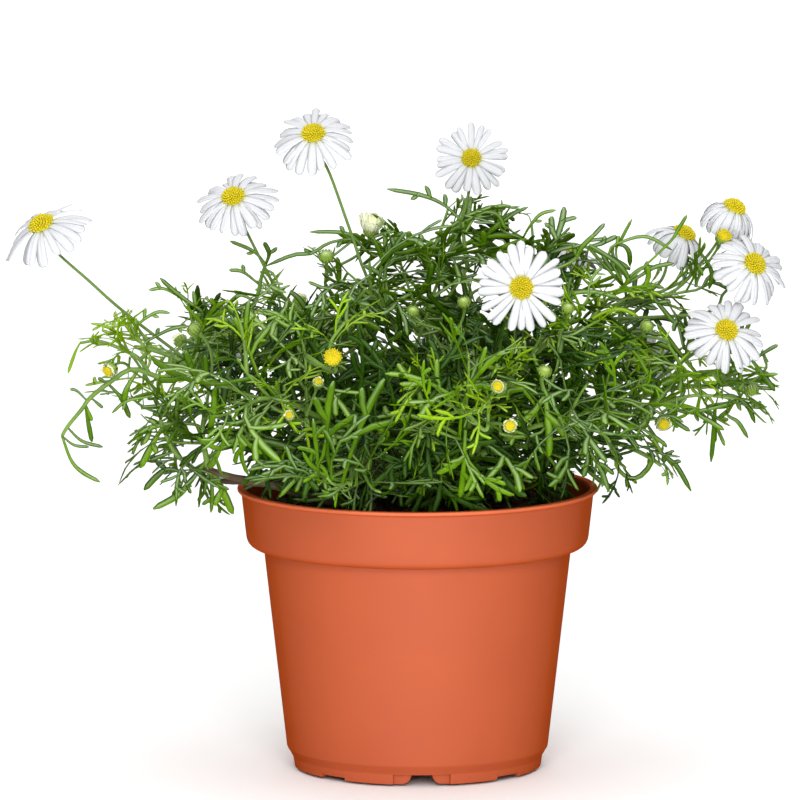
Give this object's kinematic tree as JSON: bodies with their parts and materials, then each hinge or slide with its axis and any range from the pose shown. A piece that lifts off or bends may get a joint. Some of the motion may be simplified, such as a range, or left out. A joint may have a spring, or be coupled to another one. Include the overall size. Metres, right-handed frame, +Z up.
{
  "type": "potted swan river daisy",
  "caption": "Bushy fine-leaved daisy plant with white flowers and yellow centres, growing in a round tapered plastic nursery pot.",
  "frame": {"origin": "centre of the flat underside of the pot, on the pot's own axis, at ground level", "axes": "+Z up along the pot's axis; +X to the plant's right as seen from the front, along the crown's widest spread; +Y to its back, so the front faces -Y"},
  "size_m": [0.2601, 0.2199, 0.2229],
  "materials": {
    "pot_plastic": "satin moulded polypropylene, terracotta orange",
    "peat_compost": "dark crumbly peat, dull",
    "woody_stem": "thin brown bark, dull",
    "green_stem": "green to brown stem, soft sheen",
    "leaf": "narrow-lobed green leaves, soft sheen",
    "daisy_white": "white ray petals with a yellow disc, matte"
  },
  "bodies": {
    "root": {"bough_back_left": "green_stem", "bough_back_right": "green_stem", "bough_front_left": "green_stem", "bough_front_right": "green_stem", "bough_left": "green_stem", "bough_right": "green_stem", "bough_top": "green_stem", "bough_top_left": "green_stem", "bough_top_right": "green_stem", "compost": "peat_compost", "crown": "woody_stem", "daisy_back": "daisy_white", "daisy_back_left": "daisy_white", "daisy_back_right": "daisy_white", "daisy_behind_right": "daisy_white", "daisy_far_left": "daisy_white", "daisy_front": "daisy_white", "daisy_hidden": "daisy_white", "daisy_left": "daisy_white", "daisy_right": "daisy_white", "daisy_right_low": "daisy_white", "daisy_tallest": "daisy_white", "daisy_top": "daisy_white", "daisy_top_right": "daisy_white", "leaves_back_left": "leaf", "leaves_back_low": "leaf", "leaves_back_middle": "leaf", "leaves_back_right": "leaf", "leaves_front_left": "leaf", "leaves_front_low": "leaf", "leaves_front_middle": "leaf", "leaves_front_right": "leaf", "leaves_heart_back": "leaf", "leaves_heart_front": "leaf", "leaves_heart_left": "leaf", "leaves_heart_right": "leaf", "leaves_left_droop": "leaf", "leaves_left_high": "leaf", "leaves_left_shoulder": "leaf", "leaves_left_skirt": "leaf", "leaves_right_brow": "leaf", "leaves_right_high": "leaf", "leaves_right_low": "leaf", "leaves_right_tip": "leaf", "leaves_top_front": "leaf", "leaves_top_left": "leaf", "leaves_top_middle": "leaf", "leaves_top_right": "leaf", "pot": "pot_plastic"}
  },
  "joints": []
}
